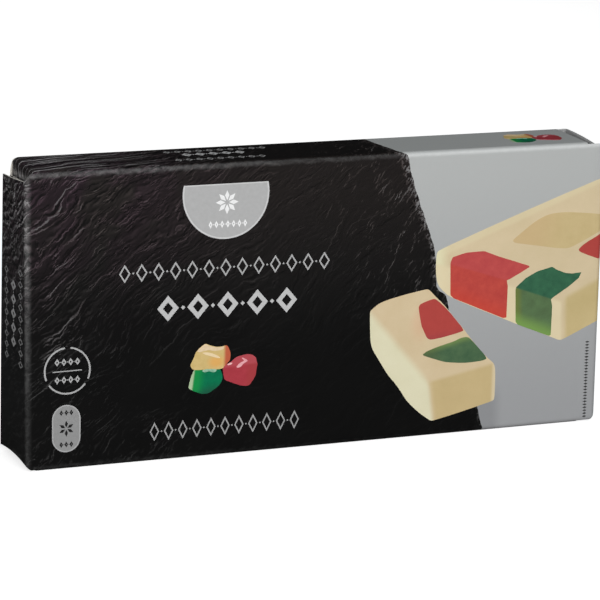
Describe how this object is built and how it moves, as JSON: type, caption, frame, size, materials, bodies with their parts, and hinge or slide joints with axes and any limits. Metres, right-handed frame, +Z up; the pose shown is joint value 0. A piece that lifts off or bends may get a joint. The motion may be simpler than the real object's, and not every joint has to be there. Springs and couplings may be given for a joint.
{
  "type": "folding carton",
  "caption": "Shut flat folding carton for a bar of marzipan turron, standing on its long narrow side, with a dark and silver print.",
  "frame": {"origin": "middle of the underside, on the surface that the carton stands on", "axes": "+X along the carton's length, the printed front panel faces -Y, +Z up"},
  "size_m": [0.18, 0.026, 0.086],
  "materials": {
    "printed_board": "coated carton board with a satin varnish, printed in near-black with grey streaks, silver grey and colours"
  },
  "bodies": {
    "root": {"carton": "printed_board"}
  },
  "joints": []
}
